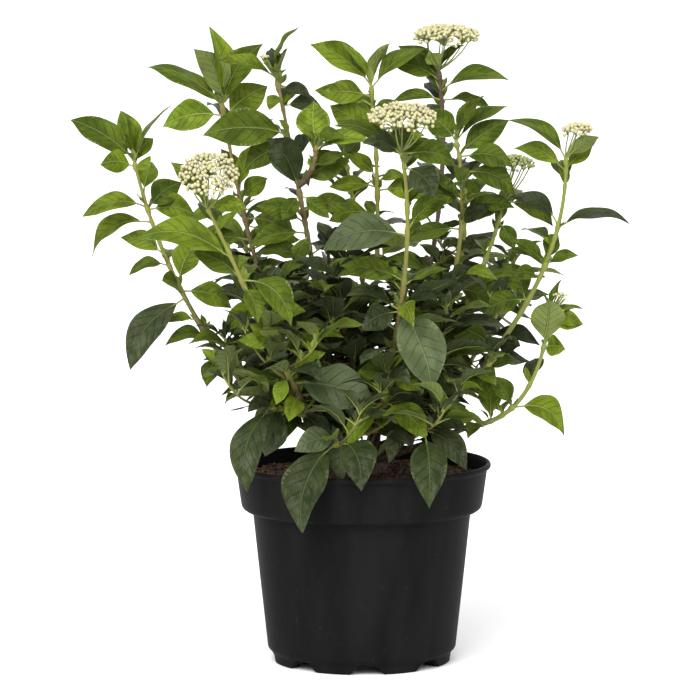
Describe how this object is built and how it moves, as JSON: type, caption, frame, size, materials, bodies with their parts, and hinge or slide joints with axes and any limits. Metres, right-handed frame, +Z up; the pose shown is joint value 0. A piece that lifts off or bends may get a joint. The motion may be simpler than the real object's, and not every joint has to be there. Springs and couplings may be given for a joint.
{
  "type": "potted shrub",
  "caption": "Potted laurustinus, an evergreen shrub with leafy upright shoots and flat heads of pale flower buds, in a round black nursery pot.",
  "frame": {"origin": "middle of the pot's underside, where the flat boss and the foot ring stand on the floor", "axes": "+Z up along the pot's axis; -Y is the side that the picture shows; +X is to its right"},
  "size_m": [0.4803, 0.3339, 0.5522],
  "materials": {
    "pot_plastic": "satin black moulded polypropylene",
    "dark_compost": "moist granular compost",
    "old_bark": "brown bark with fine grooves",
    "leaf_green": "leathery green leaves on green and brown stems",
    "old_leaf_green": "dark leathery older leaves",
    "young_leaf_green": "fresh yellow-green young leaves"
  },
  "bodies": {
    "root": {"bough_centre": "old_bark", "bough_centre_front": "old_bark", "bough_left": "old_bark", "bough_left_front": "old_bark", "bough_left_rear": "old_bark", "bough_rear": "old_bark", "bough_rear_left_low": "old_bark", "bough_rear_right_low": "old_bark", "bough_right": "old_bark", "bough_right_low": "old_bark", "bough_right_rear": "old_bark", "bough_top": "old_bark", "compost": "dark_compost", "leaves_back_far_right": "leaf_green", "leaves_back_left": "leaf_green", "leaves_back_low_left": "old_leaf_green", "leaves_back_low_right": "old_leaf_green", "leaves_back_middle": "leaf_green", "leaves_back_right": "leaf_green", "leaves_brown_side": "leaf_green", "leaves_brown_tall": "leaf_green", "leaves_centre_flower": "leaf_green", "leaves_core_centre": "old_leaf_green", "leaves_core_left": "old_leaf_green", "leaves_core_rear": "old_leaf_green", "leaves_core_right": "old_leaf_green", "leaves_front_low": "young_leaf_green", "leaves_left_flower": "young_leaf_green", "leaves_left_low": "leaf_green", "leaves_left_outer": "leaf_green", "leaves_left_rear": "leaf_green", "leaves_left_young": "young_leaf_green", "leaves_low_right": "leaf_green", "leaves_pot_back_left": "old_leaf_green", "leaves_pot_back_right": "old_leaf_green", "leaves_pot_front": "old_leaf_green", "leaves_pot_left": "old_leaf_green", "leaves_pot_right": "old_leaf_green", "leaves_rear_tall": "leaf_green", "leaves_right_green": "leaf_green", "leaves_right_low": "leaf_green", "leaves_right_outer": "leaf_green", "leaves_right_tall": "leaf_green", "leaves_top_flower": "leaf_green", "pot": "pot_plastic", "trunk": "old_bark"}
  },
  "joints": []
}
